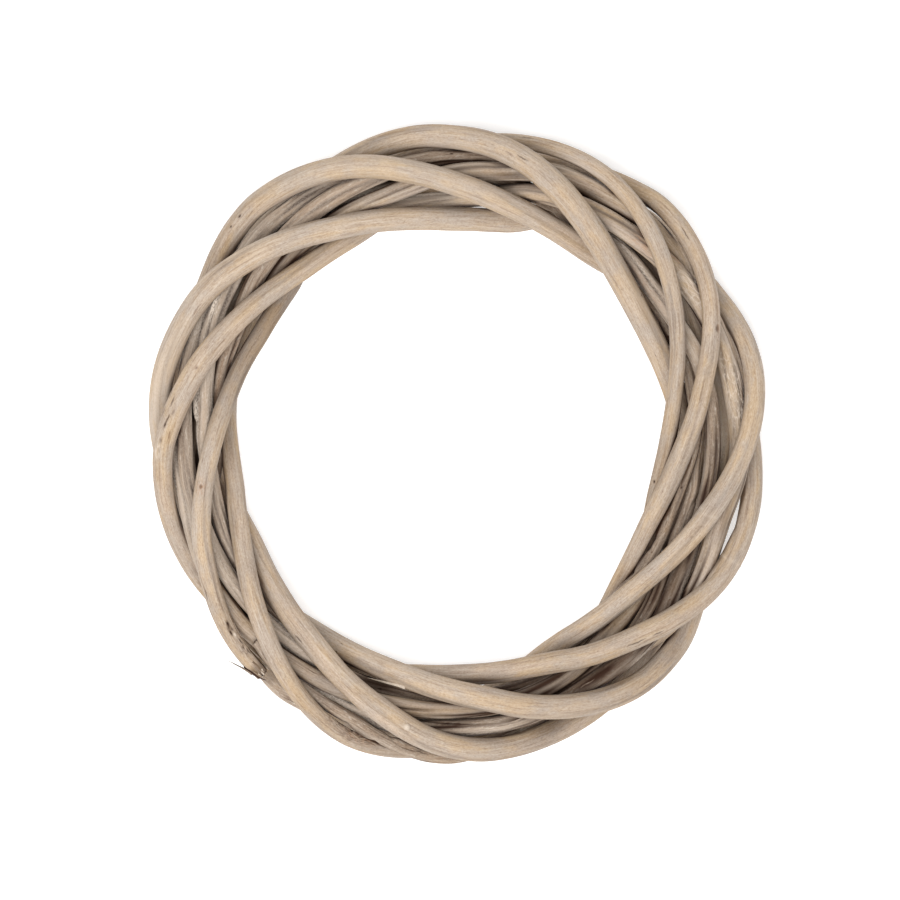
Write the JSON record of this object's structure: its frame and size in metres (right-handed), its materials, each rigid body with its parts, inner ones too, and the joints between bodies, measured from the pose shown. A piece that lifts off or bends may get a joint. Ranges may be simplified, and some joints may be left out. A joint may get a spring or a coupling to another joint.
{
  "type": "rattan wreath",
  "caption": "Bare ring-shaped wreath wound from peeled rattan rods of uneven thickness, with one torn rod end at the rim, lying flat.",
  "frame": {"origin": "centre of the bounding box, on the surface that the wreath lies on", "axes": "+Z is the ring's axis, out of the face that the picture shows; +X and +Y are the picture's right and up"},
  "size_m": [0.2462, 0.2558, 0.0421],
  "materials": {
    "pale_rattan": "dry peeled rattan, matt",
    "tan_rattan": "dry peeled rattan, matt",
    "grey_rattan": "weathered rattan, matt",
    "brown_rattan": "weathered rattan, matt"
  },
  "bodies": {
    "root": {"outer_rod_thick": "pale_rattan", "outer_rod_long": "tan_rattan", "outer_rod_torn": "pale_rattan", "thin_rod_rim": "grey_rattan", "thin_rod_hole": "grey_rattan", "inner_rod_first": "tan_rattan", "inner_rod_second": "grey_rattan", "inner_rod_third": "brown_rattan", "inner_rod_fourth": "grey_rattan"}
  },
  "joints": []
}
